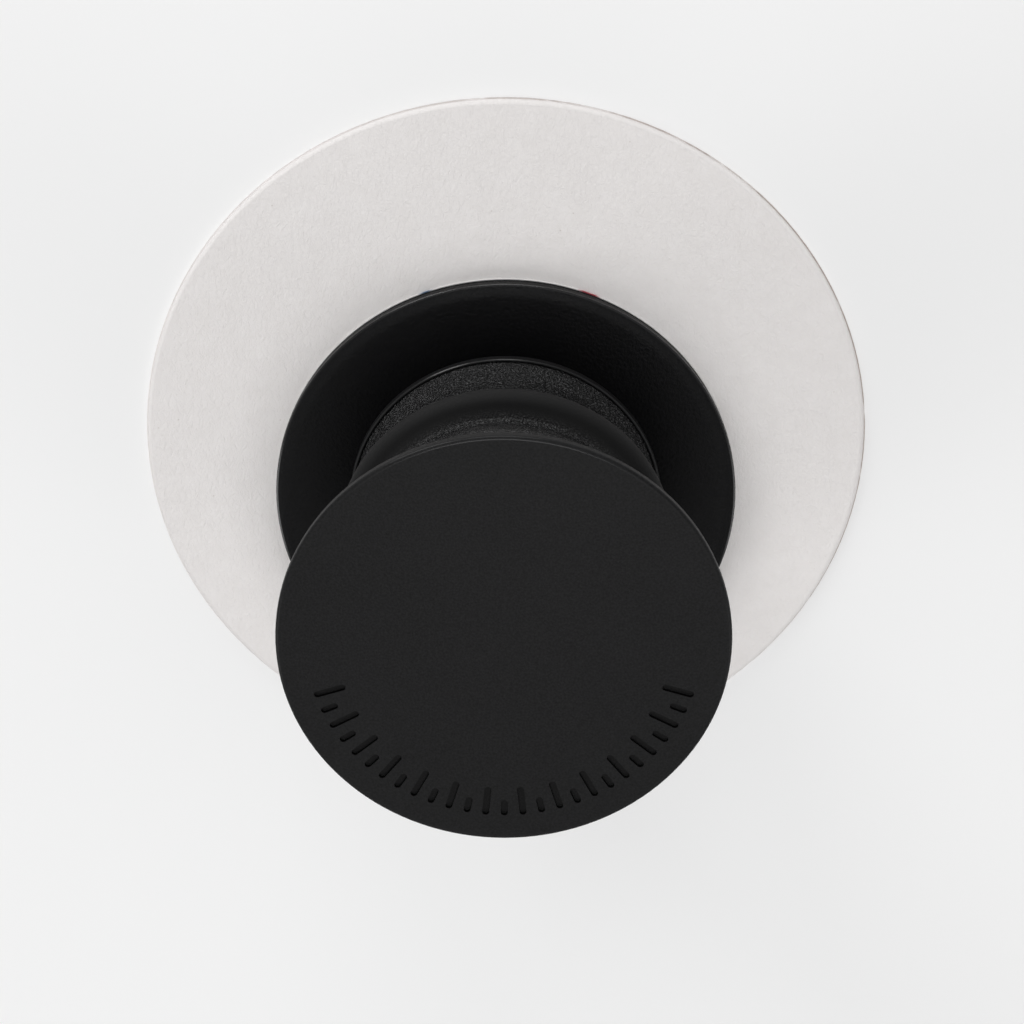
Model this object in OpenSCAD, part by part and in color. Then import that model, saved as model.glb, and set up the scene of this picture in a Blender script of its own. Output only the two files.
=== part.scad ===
// Collapsible phone grip stand on a round backing board, shown pulled out.
// Millimetres, Z up. The origin is the centre of the board's flat back face, and
// the grip's own axis is parallel to Z, a little to the -Y side of it.

/* [Backing board] */
// Diameter of the round board
board_d = 68; // [60:0.5:80]
// Thickness of the board
board_t = 0.6; // [0.55:0.05:1.2]
// Radius that the cutter presses on the board's front edge
board_front_r = 0.42; // [0.2:0.02:0.44]
// How far the cut back layer stands out past the pressed front layer
board_lip = 0.1; // [0.05:0.01:0.2]
// Thickness of that back layer at the edge
board_lip_t = 0.1; // [0.05:0.01:0.12]
// Distance from the board's centre to the grip's axis
grip_offset = 5.2; // [0:0.1:6]

/* [Film and pad] */
// Diameter of the thin film between the board and the pad
film_d = 43.5; // [40:0.1:44]
// Thickness of the film
film_t = 0.15; // [0.1:0.05:0.3]
// Diameter of the adhesive pad
pad_d = 43.4; // [40:0.1:44]
// Thickness of the adhesive pad
pad_t = 0.6; // [0.4:0.1:1.2]

/* [Base plate] */
// Diameter of the base plate
plate_d = 43.6; // [38:0.1:46]
// Thickness of the base plate
plate_t = 1.1; // [1:0.1:2]
// Radius on which the plate's front face falls away towards its edge
plate_crown_r = 3.2; // [1:0.1:5]
// Slope of the face where it meets the edge, in degrees
plate_crown_a = 24; // [10:1:30]
// Diameter of the plate's opening, which the neck comes up through
plate_hole_d = 28.6; // [27:0.1:29.4]
// Height of the bead round the opening, above the plate's front face
bead_h = 0.75; // [0.4:0.05:1.2]
// Width of that bead
bead_w = 0.32; // [0.3:0.02:0.6]
// Width of the groove between the opening and the bead
bead_gap = 0.1; // [0.1:0.05:0.4]
// Width of the rebate under the plate that holds the neck's flange
rebate_w = 1.5; // [1:0.1:2]
// Depth of that rebate
rebate_t = 0.5; // [0.3:0.05:0.6]

/* [Neck] */
// Thickness of the neck's wall
wall = 0.8; // [0.6:0.05:0.9]
// Number of folds
fold_count = 3; // [1:1:3]
// Diameter of the first fold, before its corner is rounded
fold_d = 32.3; // [31.5:0.1:33]
// How much smaller each next fold is across
fold_taper = 4.1; // [3.8:0.1:4.4]
// Height of the first fold's corner above the plate's front face
fold_z = 10.2; // [9.8:0.1:10.6]
// Height from one fold to the next
fold_pitch = 4.7; // [4.5:0.1:4.9]
// Radius of a fold
fold_r = 1.2; // [1:0.05:1.3]
// How far the shoulder above a fold runs inward
shoulder_w = 3.15; // [3:0.05:3.3]
// How far the shoulder rises as it runs inward
shoulder_rise = 0.85; // [0.6:0.05:1]
// Radius of the waist above a shoulder
waist_r = 0.5; // [0.4:0.05:0.6]
// Diameter of the waist below the first fold, before its corner is rounded
root_waist_d = 25.8; // [25:0.1:26.5]
// Height of that waist above the plate's front face
root_waist_z = 4.4; // [4:0.1:5]
// Radius of that waist
root_waist_r = 3; // [1:0.1:3.5]
// Diameter of the straight end that the button's collar holds
neck_end_d = 20.8; // [20.4:0.1:21.2]
// Thickness of the closed end
neck_end_t = 1; // [0.8:0.1:1.4]

/* [Button] */
// Diameter of the button
button_d = 40; // [36:0.1:44]
// Distance from the plate's front face to the button's front face, pulled out
reach = 29; // [28.6:0.1:29.4]
// Thickness of the button's rim
rim_t = 0.9; // [0.8:0.05:1.2]
// Radius of the front edge of the rim
rim_front_r = 0.35; // [0.2:0.05:0.5]
// Thickness of the button inside its rim
button_t = 1.5; // [1.2:0.1:1.8]
// Width of the thin rim
rim_w = 1.6; // [1:0.1:3]
// Depth of the button's collar below its front face
collar_h = 3; // [2.6:0.1:3.4]
// Width of the collar's wall
collar_w = 1; // [0.8:0.1:1.4]

/* [Index marks] */
// Number of marks along the button's lower edge
mark_count = 27; // [3:2:45]
// Angle between two marks
mark_pitch = 5.6; // [4:0.1:8]
// Radius that the marks' outer ends lie on
mark_r = 17.5; // [16:0.1:18]
// Length of a long mark
mark_long = 2.9; // [1.6:0.1:4]
// Length of a short mark
mark_short = 1.6; // [1:0.1:3]
// Width of a mark
mark_w = 0.62; // [0.4:0.02:0.9]
// Depth of a mark
mark_depth = 0.35; // [0.1:0.05:0.5]

/* [Neck plug] */
// Diameter of the plug's flange inside the neck
plug_d = 16.4; // [12:0.1:18]
// Thickness of the flange
plug_t = 1.2; // [0.8:0.1:1.5]
// Diameter of the plug's stem
stem_d = 5; // [3:0.1:6]
// Length of the stem that is pressed into the button
stem_in_button = 1.4; // [1:0.1:1.5]

/* [Hidden] */
$fn = 120;
arc_steps = 6;
fold_steps = 9;
// Room between the neck and the hole that it passes through
slip = 0.05;
// Room round the pressed stem
press = 0.01;
// How far a cutter runs past a face
over = 0.5;
small_r = 0.12;
// Height of the neck's straight root above the plate's front face
root_h = 0.4;
// Radius where the root starts to lean inward
root_r = 1;
// Width of the slope from the button's rim to its thicker middle
step_w = 0.3;

film_z = board_t;
pad_z = film_z + film_t;
plate_z = pad_z + pad_t;
face_z = plate_z + plate_t;
button_z = face_z + reach;
collar_z = button_z - collar_h;
seat_z = button_z - rim_t - button_t;
neck_r = plate_hole_d / 2 - slip;
neck_end_r = neck_end_d / 2;
neck_end_z = seat_z - neck_end_t;
plug_z = neck_end_z - plug_t;
rim_r = button_d / 2 - rim_w;

// Points of an arc about [cx, cy], from angle a0 to a1
function arc(cx, cy, r, a0, a1) =
    [for (i = [0:arc_steps]) let (a = a0 + (a1 - a0) * i / arc_steps) [cx + r * cos(a), cy + r * sin(a)]];

// Half section of a flat disc that stands on z = 0, with both its edges rounded
function disc_section(r, t, front_r, back_r) = concat(
    [[0, 0]],
    arc(r - back_r, back_r, back_r, -90, 0),
    arc(r - front_r, t - front_r, front_r, 0, 90),
    [[0, t]]);

module disc(r, t, front_r, back_r) {
    rotate_extrude() polygon(disc_section(r, t, front_r, back_r));
}

// Puts what follows on the grip's own axis, at height z
module on_grip(z) {
    translate([0, -grip_offset, z]) children();
}

// Half section of the board: a cut back layer that shows as a thin lip, and a pressed front edge
function board_section() = let (r = board_d / 2 - board_lip - board_front_r) concat(
    [[0, 0], [board_d / 2, 0], [board_d / 2, board_lip_t], [board_d / 2 - board_lip, board_lip_t]],
    arc(r, board_t - board_front_r, board_front_r, 0, 90),
    [[0, board_t]]);

module backing_board() {
    color("#dfdcda") rotate_extrude() polygon(board_section());
}

module liner_film() {
    color("#f2f0ee") on_grip(film_z) cylinder(d = film_d, h = film_t);
}

module adhesive_pad() {
    color("#26272a") on_grip(pad_z) disc(pad_d / 2, pad_t, small_r, small_r);
}

// Half section of the bead, which stands on the plate's front face beside the opening
function bead_section() = let (r = plate_hole_d / 2 + bead_gap) concat(
    [[r, plate_t - over]],
    arc(r + bead_w / 2, plate_t + bead_h - bead_w / 2, bead_w / 2, 180, 0),
    [[r + bead_w, plate_t - over]]);

// Half section of the plate, whose front face falls away on a wide radius to a small one
function plate_section() = let (
    edge_r = plate_d / 2 - small_r,
    crown = plate_crown_r - small_r,
    turn = 90 - plate_crown_a) concat(
    [[0, 0]],
    arc(edge_r, small_r, small_r, -90, 0),
    arc(edge_r, plate_t - plate_crown_r + crown * sin(turn), small_r, 0, turn),
    arc(edge_r - crown * cos(turn), plate_t - plate_crown_r, plate_crown_r, turn, 90),
    [[0, plate_t]]);

module base_plate() {
    color("#141416") on_grip(plate_z) difference() {
        union() {
            rotate_extrude() polygon(plate_section());
            rotate_extrude() polygon(bead_section());
        }
        translate([0, 0, -over]) cylinder(d = plate_hole_d, h = plate_t + bead_h + 2 * over);
        translate([0, 0, -over]) cylinder(r = plate_hole_d / 2 + rebate_w, h = rebate_t + over);
    }
}

// Corners of the neck's outside before rounding, from the base up: radius, height above the
// plate's front face and the radius of the rounding
fold_corners = concat(
    [[neck_r, root_h, root_r], [root_waist_d / 2, root_waist_z, root_waist_r]],
    [for (i = [0:fold_count - 1]) let (r = fold_d / 2 - i * fold_taper / 2, z = fold_z + i * fold_pitch) each [
        [r, z, fold_r],
        [max(r - shoulder_w, neck_end_r), z + shoulder_rise, waist_r]]],
    [[neck_end_r, neck_end_z - face_z, 0]]);

function place(k) = [fold_corners[k][0], face_z + fold_corners[k][1]];

function unit(v) = v / norm(v);

function turned(v, a) = [v[0] * cos(a) - v[1] * sin(a), v[0] * sin(a) + v[1] * cos(a)];

// Arc that rounds corner b on the way from a to c, as pairs of a point and its outward direction
function rounded(a, b, c, r) = let (
    u = unit(b - a),
    v = unit(c - b),
    out = [u[1], -u[0]],
    side = sign(u[0] * v[1] - u[1] * v[0]),
    turn = acos(u * v),
    centre = b - r * tan(turn / 2) * u - side * r * out)
    [for (i = [0:fold_steps]) let (m = turned(out, side * turn * i / fold_steps)) [centre + side * r * m, m]];

// Outside of the folded wall, from the base up
fold_line = [
    for (k = [0:len(fold_corners) - 2])
        each rounded(k == 0 ? [neck_r, plate_z] : place(k - 1), place(k), place(k + 1), fold_corners[k][2])];

function reversed(list) = [for (i = [len(list) - 1:-1:0]) list[i]];

// Half section of the whole neck: flange, folded wall and closed end with its hole
function neck_section() = concat(
    [[neck_r + rebate_w - slip, plate_z], [neck_r + rebate_w - slip, plate_z + rebate_t - slip],
     [neck_r, plate_z + rebate_t - slip]],
    [for (p = fold_line) p[0]],
    arc(neck_end_r - small_r, seat_z - small_r, small_r, 0, 90),
    [[stem_d / 2 + slip, seat_z], [stem_d / 2 + slip, neck_end_z], [neck_end_r - wall, neck_end_z]],
    reversed([for (p = fold_line) p[0] - wall * p[1]]),
    [[neck_r - wall, plate_z]]);

module accordion_neck() {
    color("#1d1d1f") on_grip(0) rotate_extrude() polygon(neck_section());
}

module neck_plug() {
    color("#303236") on_grip(plug_z) {
        disc(plug_d / 2, plug_t, small_r, small_r);
        cylinder(d = stem_d, h = plug_t + neck_end_t + stem_in_button);
    }
}

// Half section of the button, from its front face down to the collar that holds the neck's end
function button_section() = concat(
    [[0, button_z]],
    reversed(arc(button_d / 2 - rim_front_r, button_z - rim_front_r, rim_front_r, 0, 90)),
    reversed(arc(button_d / 2 - small_r, button_z - rim_t + small_r, small_r, -90, 0)),
    [[rim_r, button_z - rim_t], [rim_r - step_w, button_z - button_t]],
    [[neck_end_r + slip + collar_w, button_z - button_t], [neck_end_r + slip + collar_w, collar_z],
     [neck_end_r + slip, collar_z], [neck_end_r + slip, seat_z], [0, seat_z]]);

// One mark, a sunk slot with round ends that runs inward from radius mark_r
module mark(length) {
    inner = mark_r - length + mark_w / 2;
    outer = mark_r - mark_w / 2;
    translate([0, 0, -mark_depth]) {
        translate([inner, -mark_w / 2, 0]) cube([outer - inner, mark_w, mark_depth + over]);
        for (x = [inner, outer]) translate([x, 0, 0]) cylinder(d = mark_w, h = mark_depth + over, $fn = 24);
    }
}

module button() {
    color("#232426") on_grip(0) difference() {
        rotate_extrude() polygon(button_section());
        translate([0, 0, seat_z - over]) cylinder(r = stem_d / 2 + press, h = stem_in_button + over + slip);
        for (i = [0:mark_count - 1])
            translate([0, 0, button_z])
                rotate([0, 0, -90 + (i - (mark_count - 1) / 2) * mark_pitch])
                    mark(i % 2 == 0 ? mark_long : mark_short);
    }
}

backing_board();
liner_film();
adhesive_pad();
base_plate();
accordion_neck();
neck_plug();
button();
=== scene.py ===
"""Looks, light and camera of the collapsible phone grip stand on its round white board."""
import math

import bpy
from mathutils import Matrix, Vector


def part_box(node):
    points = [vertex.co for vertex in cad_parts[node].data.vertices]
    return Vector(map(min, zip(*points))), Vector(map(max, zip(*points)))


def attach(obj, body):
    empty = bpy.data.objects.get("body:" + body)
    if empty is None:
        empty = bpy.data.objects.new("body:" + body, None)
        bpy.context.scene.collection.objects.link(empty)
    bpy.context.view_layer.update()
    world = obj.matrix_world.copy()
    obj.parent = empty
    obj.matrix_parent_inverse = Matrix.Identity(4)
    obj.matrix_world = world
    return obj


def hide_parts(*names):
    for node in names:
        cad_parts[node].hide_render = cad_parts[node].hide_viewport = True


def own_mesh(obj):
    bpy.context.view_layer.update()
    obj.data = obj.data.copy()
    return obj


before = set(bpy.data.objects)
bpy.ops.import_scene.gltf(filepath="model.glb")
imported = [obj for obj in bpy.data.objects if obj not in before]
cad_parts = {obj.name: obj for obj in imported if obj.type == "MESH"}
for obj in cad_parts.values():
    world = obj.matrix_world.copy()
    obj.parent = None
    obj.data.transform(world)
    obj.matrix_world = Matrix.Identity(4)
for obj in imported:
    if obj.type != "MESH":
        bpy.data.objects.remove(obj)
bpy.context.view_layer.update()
MM = 0.001


# Places that the frame gives, in metres

button_low, button_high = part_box("button")
neck_low, neck_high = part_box("accordion_neck")
plate_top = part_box("base_plate")[1].z
axis_y = (button_low.y + button_high.y) / 2
# Height of the bead round the plate's opening, above the plate's front face
BEAD_HEIGHT = 0.75 * MM
face_z = plate_top - BEAD_HEIGHT


# Zones of another finish, in millimetres: inner and outer radius about the grip's axis

BASE_EDGE_RING = (21.64, 22)
BEAD_RING = (14.3, 14.85)
BUTTON_RIM_RING = (19.65, 20.2)
MARKS_RING = (14, 18)
# Heights above the base's face from which its edge shines, the bead is painted paler as painted light
# against the shade of the gap beside it, and its crown shines
BASE_EDGE_FROM = -0.4
BEAD_PAINTED_LIGHT_FROM = 0.05
BEAD_CROWN_FROM = 0.4
# Heights above the button's face from which its rim shines, and at which the painted shade on the
# floors of the marks ends
BUTTON_RIM_FROM = -0.3
MARK_FLOORS_END = (-0.12, -0.06)
# Width over which a zone starts and ends
BLEND = 0.05
# Radii about the board's centre between which its front edge turns down and is given painted shade, and
# its cut edge starts
EDGE_SHADE_SPAN = (33.4, 33.5)
CUT_SPAN = (33.89, 33.91)
# Bits of print on the film's edge: X and Y in the board's plane, reach, colour
FILM_PRINT = [
    (7.8, 15.1, 0.6, (0.40, 0.05, 0.07)),
    (-7.4, 15.25, 0.2, (0.10, 0.16, 0.25))]
# Width over which a bit of print fades out
PRINT_FADE = 0.6


# Colours, linear

BASE_BLACK = (0.0022, 0.0022, 0.0026)
# Painted light: the bead is paler, to lift the shade in the gap between it and the neck
BEAD_PAINTED_LIGHT = (0.014, 0.014, 0.0145)
BUTTON_BLACK = (0.0066, 0.0066, 0.0069)
# Painted shade on the floors of the sunk marks
MARK_PAINTED_SHADE = (0.0015, 0.0015, 0.0016)
PLUG_BLACK = (0.03, 0.03, 0.032)
PAD_BLACK = (0.006, 0.006, 0.0066)
NECK_BLACK = (0.0014, 0.0014, 0.0016)
# Painted glints: pale specks in the rubber's grain
NECK_PAINTED_GLINT = (0.043, 0.043, 0.044)
NECK_CREST = (0.0042, 0.0042, 0.0044)
PAPER_DARK = (0.758, 0.732, 0.721)
PAPER_LIGHT = (0.785, 0.760, 0.750)
PAPER_FLECK = (0.45, 0.40, 0.36)
# Painted shade on the board's front edge where it turns down
PAPER_EDGE_SHADE = (0.745, 0.72, 0.71)
PAPER_CUT = (0.40, 0.34, 0.31)
FILM_WHITE = (0.80, 0.79, 0.78)
FLOOR_WHITE = (0.87, 0.87, 0.87)


# Finishes

# The span that most values of a noise lie in
NOISE_SPAN = (0.3, 0.7)
# How far the roughness of a hard plastic wanders
ROUGHNESS_DRIFT = 0.03
# Shares of a plastic's tone that come from its broad clouds and from its fine grain
CLOUD_SHARE = 0.2
GRAIN_SHARE = 0.8
# Weights of the gloss on three edges, and its roughness
BASE_EDGE_GLOSS = 0.85
BEAD_CROWN_GLOSS = 0.51
BUTTON_RIM_GLOSS = 0.1
GLOSS_ROUGHNESS = 0.15
# Flecks in the board: distance from a cell's middle, in cells, at which one starts and is full
FLECK_SPAN = (0.035, 0.02)
FLECK_AMOUNT = 0.4
# Brown of the cut edge: noise values at which a patch starts and is full, and the faintest amount
PATCH_SPAN = (0.35, 0.5)
PATCH_FAINTEST = 0.15
# Painted shade deepens the brown towards the right, and a quarter as much towards the top, over this
# many millimetres
BROWN_SHADE_SPAN = (-12, 34)
BROWN_SHADE_TO_TOP = 0.25
BROWN_SHADE_FAINTEST = 0.1


# Helpers for node materials

def new_material(name):
    """A material with a Principled shader, and the tree to add nodes to."""
    material = bpy.data.materials.new(name)
    material.use_nodes = True
    return material, material.node_tree


def shader_of(tree):
    return tree.nodes["Principled BSDF"]


def set_shader(tree, **values):
    """Sets numbers and colours on the shader's own sockets."""
    for key, value in values.items():
        shader_of(tree).inputs[key.replace("_", " ")].default_value = value


def link_shader(tree, key, value):
    tree.links.new(value, shader_of(tree).inputs[key])


def scaled_place(tree, location, scale):
    """The object's own coordinates, scaled and then moved."""
    coordinates = tree.nodes.new("ShaderNodeTexCoord")
    mapping = tree.nodes.new("ShaderNodeMapping")
    mapping.inputs["Location"].default_value = location
    mapping.inputs["Scale"].default_value = scale
    tree.links.new(coordinates.outputs["Object"], mapping.inputs["Vector"])
    return mapping.outputs["Vector"]


def object_mm(tree, stretch=(1, 1, 1)):
    """The object's own coordinates in millimetres, from the grip's axis."""
    return scaled_place(tree, (0, -axis_y / MM * stretch[1], 0), [s / MM for s in stretch])


def flat_mm(tree, x=0.0, y=0.0):
    """Place in the board's plane, in millimetres from a point of it."""
    return scaled_place(tree, (-x, -y, 0), (1 / MM, 1 / MM, 0))


def noise(tree, vector, scale, detail=2.0, roughness=0.5, distortion=0.0):
    """Smooth noise, with its scale in features to the millimetre."""
    node = tree.nodes.new("ShaderNodeTexNoise")
    node.inputs["Scale"].default_value = scale
    node.inputs["Detail"].default_value = detail
    node.inputs["Roughness"].default_value = roughness
    node.inputs["Distortion"].default_value = distortion
    tree.links.new(vector, node.inputs["Vector"])
    return node.outputs["Fac"]


def cells(tree, vector, scale):
    """Distance from the middles of scattered cells."""
    node = tree.nodes.new("ShaderNodeTexVoronoi")
    node.inputs["Scale"].default_value = scale
    tree.links.new(vector, node.inputs["Vector"])
    return node.outputs["Distance"]


def spread(tree, value, span_in, span_out):
    """Maps a value from one span to another, clamped."""
    node = tree.nodes.new("ShaderNodeMapRange")
    keys = ("From Min", "From Max", "To Min", "To Max")
    for key, number in zip(keys, (*span_in, *span_out)):
        node.inputs[key].default_value = number
    tree.links.new(value, node.inputs["Value"])
    return node.outputs["Result"]


def combine(tree, operation, a, b):
    """A sum, product or the like of two values, each a number or a socket."""
    node = tree.nodes.new("ShaderNodeMath")
    node.operation = operation
    for socket, value in zip(node.inputs, (a, b)):
        if isinstance(value, (int, float)):
            socket.default_value = value
        else:
            tree.links.new(value, socket)
    return node.outputs["Value"]


def add(tree, a, b):
    return combine(tree, "ADD", a, b)


def times(tree, a, b):
    return combine(tree, "MULTIPLY", a, b)


def mix_colour(tree, factor, a, b):
    """Mixes two colours, each a colour or a socket."""
    node = tree.nodes.new("ShaderNodeMix")
    node.data_type = "RGBA"
    tree.links.new(factor, node.inputs["Factor"])
    for key, value in (("A", a), ("B", b)):
        socket = next(s for s in node.inputs if s.name == key and s.type == "RGBA")
        if isinstance(value, tuple):
            socket.default_value = (*value, 1)
        else:
            tree.links.new(value, socket)
    return next(s for s in node.outputs if s.type == "RGBA")


def link_bump(tree, height, depth):
    """Bump of a height field, with its depth in millimetres."""
    node = tree.nodes.new("ShaderNodeBump")
    node.inputs["Distance"].default_value = depth * MM
    tree.links.new(height, node.inputs["Height"])
    link_shader(tree, "Normal", node.outputs["Normal"])


def parts_of(tree, vector):
    """The three numbers of a vector, by name."""
    node = tree.nodes.new("ShaderNodeSeparateXYZ")
    tree.links.new(vector, node.inputs["Vector"])
    return node.outputs


def length_of(tree, vector):
    node = tree.nodes.new("ShaderNodeVectorMath")
    node.operation = "LENGTH"
    tree.links.new(vector, node.inputs[0])
    return node.outputs["Value"]


# Zones and finishes

def height_mm(tree):
    return parts_of(tree, object_mm(tree))["Z"]


def ring_mask(tree, inner, outer):
    """1 between two radii about the grip's axis, in millimetres, and 0 elsewhere."""
    radius = length_of(tree, flat_mm(tree, 0, axis_y / MM))
    rise = spread(tree, radius, (inner - BLEND, inner), (0, 1))
    return times(tree, rise, spread(tree, radius, (outer, outer + BLEND), (1, 0)))


def ring_above(tree, ring, face, start):
    """1 in a ring and from a height in millimetres above a face up, and 0 elsewhere."""
    height = face / MM + start
    above = spread(tree, height_mm(tree), (height - BLEND, height), (0, 1))
    return times(tree, ring_mask(tree, *ring), above)


def polish(tree, weight):
    """A thin gloss on top of the finish, as heavy as a mask says."""
    link_shader(tree, "Coat Weight", weight)
    set_shader(tree, Coat_Roughness=GLOSS_ROUGHNESS)


def recolour(tree, where, colour):
    """Another colour over the shader's own one, where a mask says so."""
    below = shader_of(tree).inputs["Base Color"].links[0].from_socket
    link_shader(tree, "Base Color", mix_colour(tree, where, below, colour))


# Materials

def moulded_plastic(name, colour, roughness, grain, depth, specular, variation=0.4):
    """Hard black plastic with a fine etched grain, its size and depth in millimetres."""
    material, tree = new_material(name)
    place = object_mm(tree)
    fine = noise(tree, place, scale=1 / grain, detail=3.0, roughness=0.6)
    broad = noise(tree, place, scale=0.12, detail=3.0)
    darker = tuple(c * (1 - variation) for c in colour)
    lighter = tuple(c * (1 + variation) for c in colour)
    clouds = spread(tree, broad, NOISE_SPAN, (0, CLOUD_SHARE))
    tone = add(tree, clouds, spread(tree, fine, NOISE_SPAN, (0, GRAIN_SHARE)))
    link_shader(tree, "Base Color", mix_colour(tree, tone, darker, lighter))
    wandering = (roughness - ROUGHNESS_DRIFT, roughness + ROUGHNESS_DRIFT)
    link_shader(tree, "Roughness", spread(tree, broad, NOISE_SPAN, wandering))
    link_bump(tree, fine, depth)
    set_shader(tree, Specular_IOR_Level=specular)
    return material


def base_plastic():
    """The base's plastic, glossier on the bead and along the edge of its front face, and painted paler
    on the bead as painted light.
    """
    material = moulded_plastic("base_plastic", BASE_BLACK,
                               roughness=0.42, grain=0.3, depth=0.07, specular=0.12)
    tree = material.node_tree
    edge = ring_above(tree, BASE_EDGE_RING, face_z, BASE_EDGE_FROM)
    crown = ring_above(tree, BEAD_RING, face_z, BEAD_CROWN_FROM)
    polish(tree, add(tree, times(tree, edge, BASE_EDGE_GLOSS), times(tree, crown, BEAD_CROWN_GLOSS)))
    # Painted light: paler on the bead and in the gap beside it
    recolour(tree, ring_above(tree, BEAD_RING, face_z, BEAD_PAINTED_LIGHT_FROM), BEAD_PAINTED_LIGHT)
    return material


def button_plastic():
    """The button's plastic, glossier on the rim, with painted shade on the floors of the sunk marks."""
    material = moulded_plastic("button_plastic", BUTTON_BLACK,
                               roughness=0.5, grain=0.2, depth=0.02, specular=0.12, variation=0.6)
    tree = material.node_tree
    rim = ring_above(tree, BUTTON_RIM_RING, button_high.z, BUTTON_RIM_FROM)
    polish(tree, times(tree, rim, BUTTON_RIM_GLOSS))
    # Painted shade on the floors of the sunk marks
    floors_end = [button_high.z / MM + height for height in MARK_FLOORS_END]
    sunk = spread(tree, height_mm(tree), floors_end, (1, 0))
    recolour(tree, times(tree, sunk, ring_mask(tree, *MARKS_RING)), MARK_PAINTED_SHADE)
    return material


def white_board():
    """Uncoated white board: paper fibres, faint mottling, a few flecks and a brown cut edge, with
    painted shade where its front edge turns down and on the cut edge's right and top.
    """
    material, tree = new_material("white_board")
    place = object_mm(tree)
    mottle = noise(tree, place, scale=0.5, detail=4.0, roughness=0.6)
    paper = mix_colour(tree, spread(tree, mottle, NOISE_SPAN, (0, 1)), PAPER_DARK, PAPER_LIGHT)
    fleck = spread(tree, cells(tree, place, scale=0.35), FLECK_SPAN, (0, FLECK_AMOUNT))
    paper = mix_colour(tree, fleck, paper, PAPER_FLECK)

    radius = length_of(tree, flat_mm(tree))
    # Painted shade where the front edge turns down
    edge_shade = spread(tree, radius, EDGE_SHADE_SPAN, (0, 1))
    paper = mix_colour(tree, edge_shade, paper, PAPER_EDGE_SHADE)

    # The cut edge is brown in patches, with painted shade deepening it most of all at the right and the
    # top
    patches = noise(tree, place, scale=0.2, detail=3.0, roughness=0.7)
    brown = times(tree, spread(tree, radius, CUT_SPAN, (0, 1)),
                  spread(tree, patches, PATCH_SPAN, (PATCH_FAINTEST, 1)))
    flat = parts_of(tree, flat_mm(tree))
    shade_to_right_and_top = add(tree, flat["X"], times(tree, flat["Y"], BROWN_SHADE_TO_TOP))
    brown = times(tree, brown, spread(tree, shade_to_right_and_top, BROWN_SHADE_SPAN, (BROWN_SHADE_FAINTEST, 1)))
    link_shader(tree, "Base Color", mix_colour(tree, brown, paper, PAPER_CUT))

    fibre_place = object_mm(tree, (1, 0.6, 1))
    fibre = noise(tree, fibre_place, scale=2.4, detail=4.0, roughness=0.7, distortion=0.8)
    link_bump(tree, fibre, depth=0.09)
    set_shader(tree, Roughness=0.85, Specular_IOR_Level=0.25)
    return material


def plain_film():
    """Thin pale film, with two short bits of print of a generic kind at its edge."""
    material, tree = new_material("liner_film")
    colour = FILM_WHITE
    for x, y, reach, print_colour in FILM_PRINT:
        distance = length_of(tree, flat_mm(tree, x, y))
        near = spread(tree, distance, (reach + PRINT_FADE, reach), (0, 1))
        colour = mix_colour(tree, near, colour, print_colour)
    link_shader(tree, "Base Color", colour)
    set_shader(tree, Roughness=0.4)
    return material


# The neck, one soft moulding

SEGMENTS = 192
ARC_STEPS = 9
WALL = 0.8 * MM
END_THICKNESS = 1.0 * MM
FLANGE_THICKNESS = 0.45 * MM
ROOT_RADIUS = 14.25 * MM
# Height of the wall's foot above the base's face
LIP_LIFT = 0.02 * MM
STEM_HOLE = 2.55 * MM
# Chamfer round the closed end
CHAMFER = 0.12 * MM
# Largest angle between two faces that are shaded as one surface
SMOOTH_ANGLE = math.radians(40)
# Corners of the outside before rounding, in millimetres: radius, height above the base's face, rounding
NECK_CORNERS = [
    (14.37, 0.75, 0.5), (13.3, 2.2, 1.5), (12.95, 4.6, 3.0),
    (16.15, 10.2, 1.2), (13.0, 11.05, 0.5),
    (14.1, 14.9, 1.2), (10.95, 15.75, 0.5),
    (12.05, 19.6, 1.2), (10.4, 20.45, 0.5)]
# Heights above the base's face at which the widest fold's smooth crest starts, is full and ends again
CREST_SPAN = (8.1, 8.8, 10.75, 11.05)
# Roughness, and share of the relief, on the grained walls and on the crest
NECK_ROUGHNESS = (0.24, 0.8)
NECK_RELIEF = (1.0, 0.1)
# Values of the grain at which a pale speck, a painted glint, starts and is full
GLINT_SPAN = (0.55, 0.62)


def crest_mask(tree):
    """1 on the widest fold's smooth crest and 0 on the grained walls beside it, by height."""
    node = tree.nodes.new("ShaderNodeValToRGB")
    span = (face_z / MM, neck_high.z / MM)
    tree.links.new(spread(tree, height_mm(tree), span, (0, 1)), node.inputs["Fac"])
    heights = [0] + [height / (span[1] - span[0]) for height in CREST_SPAN]
    ramp = node.color_ramp
    for height in heights[1:-1]:
        ramp.elements.new(height)
    for element, height, value in zip(ramp.elements, heights, (0, 0, 1, 1, 0)):
        element.position = height
        element.color = (value, value, value, 1)
    return node.outputs["Color"]


def soft_rubber(name):
    """Soft black rubber, coarsely grained with pale specks of painted glints, and smooth and dull on
    the crest of the widest fold.
    """
    material, tree = new_material(name)
    fine = noise(tree, object_mm(tree), scale=4.4, roughness=0.7)
    # The grains are a little wider than they are high
    grain = noise(tree, object_mm(tree, (1.0, 1.0, 1.3)), scale=6.4, detail=1.0)
    smooth = crest_mask(tree)
    # Pale specks of painted glints on the grained walls
    grained = mix_colour(tree, spread(tree, grain, GLINT_SPAN, (0, 1)), NECK_BLACK, NECK_PAINTED_GLINT)
    link_shader(tree, "Base Color", mix_colour(tree, smooth, grained, NECK_CREST))
    link_shader(tree, "Roughness", spread(tree, smooth, (0, 1), NECK_ROUGHNESS))
    set_shader(tree, Specular_IOR_Level=0.34)
    relief = times(tree, add(tree, fine, grain), spread(tree, smooth, (0, 1), NECK_RELIEF))
    link_bump(tree, relief, depth=0.15)
    return material


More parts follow.
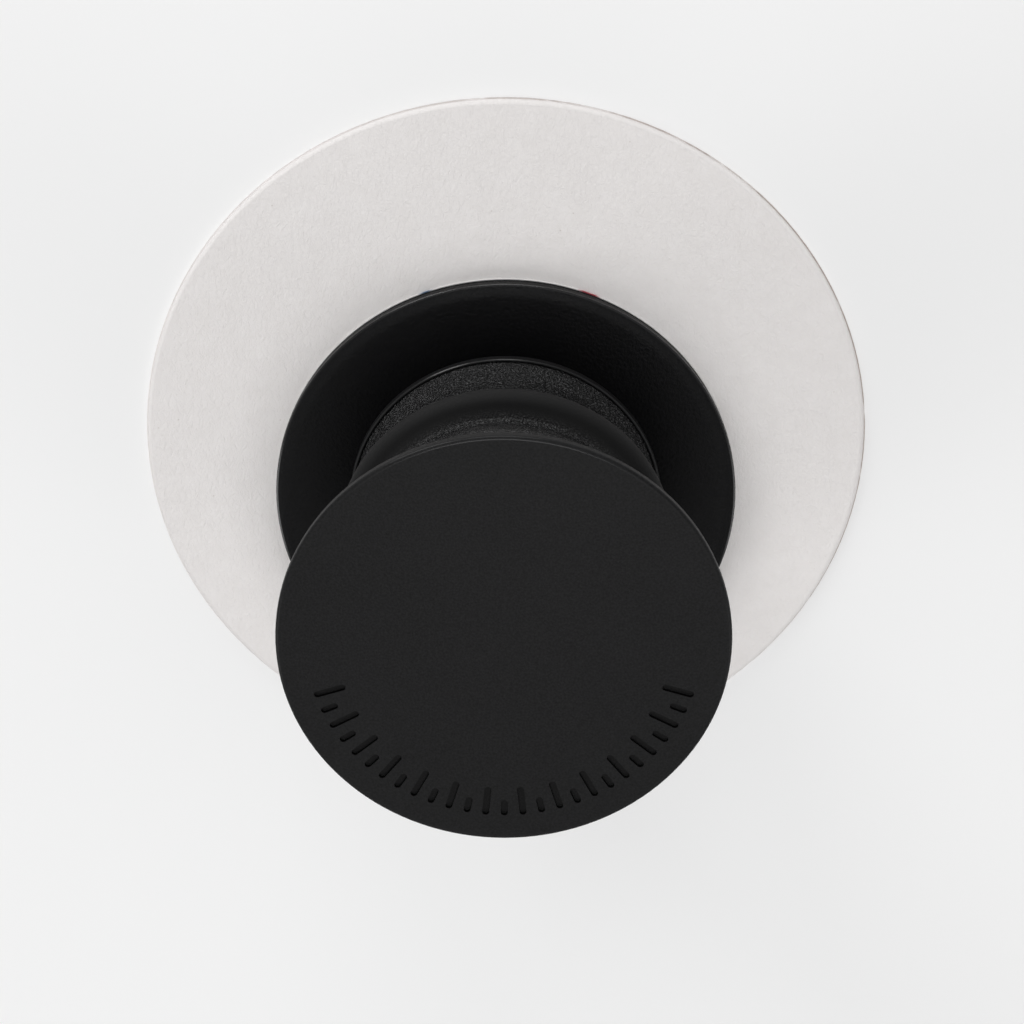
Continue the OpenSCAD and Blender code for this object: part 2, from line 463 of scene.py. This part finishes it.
def rounded(before, corner, after, radius):
    """Points of the arc that rounds a corner, each with the direction out of the wall."""
    u = (corner - before).normalized()
    v = (after - corner).normalized()
    out = Vector((u.y, -u.x))
    side = math.copysign(1, u.x * v.y - u.y * v.x)
    turn = math.acos(u.dot(v))
    centre = corner - u * radius * math.tan(turn / 2) - out * side * radius
    arc = []
    for i in range(ARC_STEPS + 1):
        a = side * turn * i / ARC_STEPS
        cos, sin = math.cos(a), math.sin(a)
        way = Vector((out.x * cos - out.y * sin, out.x * sin + out.y * cos))
        arc.append((centre + way * side * radius, way))
    return arc


def fold_line():
    """The folded wall's outside, from the base up."""
    corners = [Vector((radius * MM, face_z + height * MM)) for radius, height, _ in NECK_CORNERS]
    first = Vector((corners[0].x, face_z + LIP_LIFT))
    last = Vector((corners[-1].x, neck_high.z - END_THICKNESS))
    path = [first, *corners, last]
    points = []
    for before, corner, after, (_, _, rounding) in zip(path, path[1:], path[2:], NECK_CORNERS):
        points += rounded(before, corner, after, rounding * MM)
    return points


def neck_section():
    """Closed half section of the neck, from its flange round the outside and back inside."""
    line = fold_line()
    foot_radius, end_radius = line[0][0].x, line[-1][0].x
    foot_z = face_z + LIP_LIFT
    low, top = neck_low.z, neck_high.z
    under = top - END_THICKNESS
    flange_radius = (neck_high.x - neck_low.x) / 2
    flange_top = low + FLANGE_THICKNESS
    flange = [(flange_radius, low), (flange_radius, flange_top), (ROOT_RADIUS, flange_top),
              (ROOT_RADIUS, foot_z), (foot_radius, foot_z)]
    outside = [tuple(point) for point, way in line]
    closed_end = [(end_radius, top - CHAMFER), (end_radius - CHAMFER, top),
                  (STEM_HOLE, top), (STEM_HOLE, under), (end_radius - WALL, under)]
    inside = [tuple(point - way * WALL) for point, way in reversed(line)]
    return flange + outside + closed_end + inside + [(ROOT_RADIUS - WALL, low)]


def revolve(name, section):
    """A closed solid of revolution about the grip's axis."""
    vertices = []
    for i in range(SEGMENTS):
        a = 2 * math.pi * i / SEGMENTS
        vertices += [(r * math.cos(a), axis_y + r * math.sin(a), z) for r, z in section]
    n = len(section)
    faces = []
    for i in range(SEGMENTS):
        here, there = i * n, (i + 1) % SEGMENTS * n
        for j in range(n):
            k = (j + 1) % n
            faces.append((here + j, there + j, there + k, here + k))
    mesh = bpy.data.meshes.new(name)
    mesh.from_pydata(vertices, [], faces)
    mesh.update()
    mesh.shade_smooth()
    mesh.set_sharp_from_angle(angle=SMOOTH_ANGLE)
    piece = bpy.data.objects.new(name, mesh)
    bpy.context.scene.collection.objects.link(piece)
    return piece


def make_neck():
    """The neck in the place of its plain solid."""
    neck = revolve("folded_neck", neck_section())
    neck.data.materials.append(soft_rubber("soft_neck"))
    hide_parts("accordion_neck")
    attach(neck, "base")
    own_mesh(neck)


# Finishes of the solids

def dress(node, material):
    """Gives a solid its finish."""
    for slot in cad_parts[node].material_slots:
        slot.link = "OBJECT"
        slot.material = material


def dress_all():
    dress("button", button_plastic())
    dress("base_plate", base_plastic())
    dress("neck_plug", moulded_plastic("plug_plastic", PLUG_BLACK,
                                       roughness=0.4, grain=0.3, depth=0.01, specular=0.5))
    dress("adhesive_pad", moulded_plastic("foam_pad", PAD_BLACK,
                                          roughness=0.85, grain=0.1, depth=0.03, specular=0.12))
    dress("backing_board", white_board())
    dress("liner_film", plain_film())


# Camera, at the photograph's viewing angle

TILT = math.radians(26.0)
DISTANCE = 332 * MM
# Focal length and sensor width, in millimetres
LENS = 123.05
SENSOR_WIDTH = 36
# How far the camera and its aim are to the right of the grip's axis, and how far the aim is below
# the middle of the base's face in the picture
VIEW_ASIDE = 2.3 * MM
AIM_ASIDE = 0.59 * MM
AIM_LOW = 1.31 * MM
# Nearest and farthest distance that is rendered
CLIP = (0.01, 20)


def make_camera():
    """Looks down on the button with +Y to the top of the picture."""
    data = bpy.data.cameras.new("camera")
    data.lens = LENS
    data.sensor_width = SENSOR_WIDTH
    data.clip_start, data.clip_end = CLIP
    camera = bpy.data.objects.new("camera", data)
    back = Vector((0, math.sin(TILT), math.cos(TILT)))
    up = Vector((0, math.cos(TILT), -math.sin(TILT)))
    middle = Vector((0, axis_y, face_z))
    place = middle + back * DISTANCE + Vector((VIEW_ASIDE, 0, 0))
    aim = middle - up * AIM_LOW + Vector((AIM_ASIDE, 0, 0))
    z = (place - aim).normalized()
    x = up.cross(z).normalized()
    y = z.cross(x)
    camera.matrix_world = Matrix.Translation(place) @ Matrix((x, y, z)).transposed().to_4x4()
    bpy.context.scene.collection.objects.link(camera)
    bpy.context.scene.camera = camera


# Floor, lamps and world

FLOOR_RADIUS = 4.0
FLOOR_SIDES = 64
# Gap under the board, so that the two surfaces don't coincide
FLOOR_DROP = 0.01 * MM
# The world's light, which comes from all round
WORLD_LIGHT = 0.34
# Lamps: name, direction towards it, amount of light on a plane that faces it
LAMPS = [
    ("over", (0, 0, 1), 0.45),
    ("low", (0, 1, 0.2), 0.23),
    ("low_left", (-0.6, 1, 0.25), 0.33),
    ("front", (0, -0.6, 0.8), 0.05),
    ("edge_left", (-0.8, -0.45, 0.5), 0.15),
    ("edge_right", (0.8, -0.45, 0.5), 0.10)]
LAMP_DISTANCE = 0.9
LAMP_SIZE = 0.4
LAMP_AIM = Vector((0, 0, 0.01))


def make_floor():
    mesh = bpy.data.meshes.new("floor")
    ring = []
    for i in range(FLOOR_SIDES):
        a = 2 * math.pi * i / FLOOR_SIDES
        ring.append((FLOOR_RADIUS * math.cos(a), FLOOR_RADIUS * math.sin(a), -FLOOR_DROP))
    mesh.from_pydata(ring, [], [tuple(range(FLOOR_SIDES))])
    material, tree = new_material("floor")
    set_shader(tree, Base_Color=(*FLOOR_WHITE, 1), Roughness=0.9, Specular_IOR_Level=0.1)
    mesh.materials.append(material)
    floor = bpy.data.objects.new("floor", mesh)
    bpy.context.scene.collection.objects.link(floor)


def area_light(name, direction, amount):
    """A round lamp that gives the amount of light on a plane that faces it."""
    data = bpy.data.lights.new(name, "AREA")
    data.shape = "DISK"
    data.size = LAMP_SIZE
    data.energy = amount * (math.pi * LAMP_DISTANCE) ** 2
    light = bpy.data.objects.new(name, data)
    towards = Vector(direction).normalized()
    light.location = LAMP_AIM + towards * LAMP_DISTANCE
    light.rotation_mode = "QUATERNION"
    light.rotation_quaternion = towards.to_track_quat("Z", "Y")
    bpy.context.scene.collection.objects.link(light)


def make_light():
    world = bpy.data.worlds.new("world")
    world.use_nodes = True
    background = world.node_tree.nodes["Background"]
    background.inputs["Color"].default_value = (1, 1, 1, 1)
    background.inputs["Strength"].default_value = WORLD_LIGHT
    bpy.context.scene.world = world
    for lamp in LAMPS:
        area_light(*lamp)


make_camera()
dress_all()
make_neck()
make_floor()
make_light()
bpy.context.scene.view_settings.view_transform = "Standard"
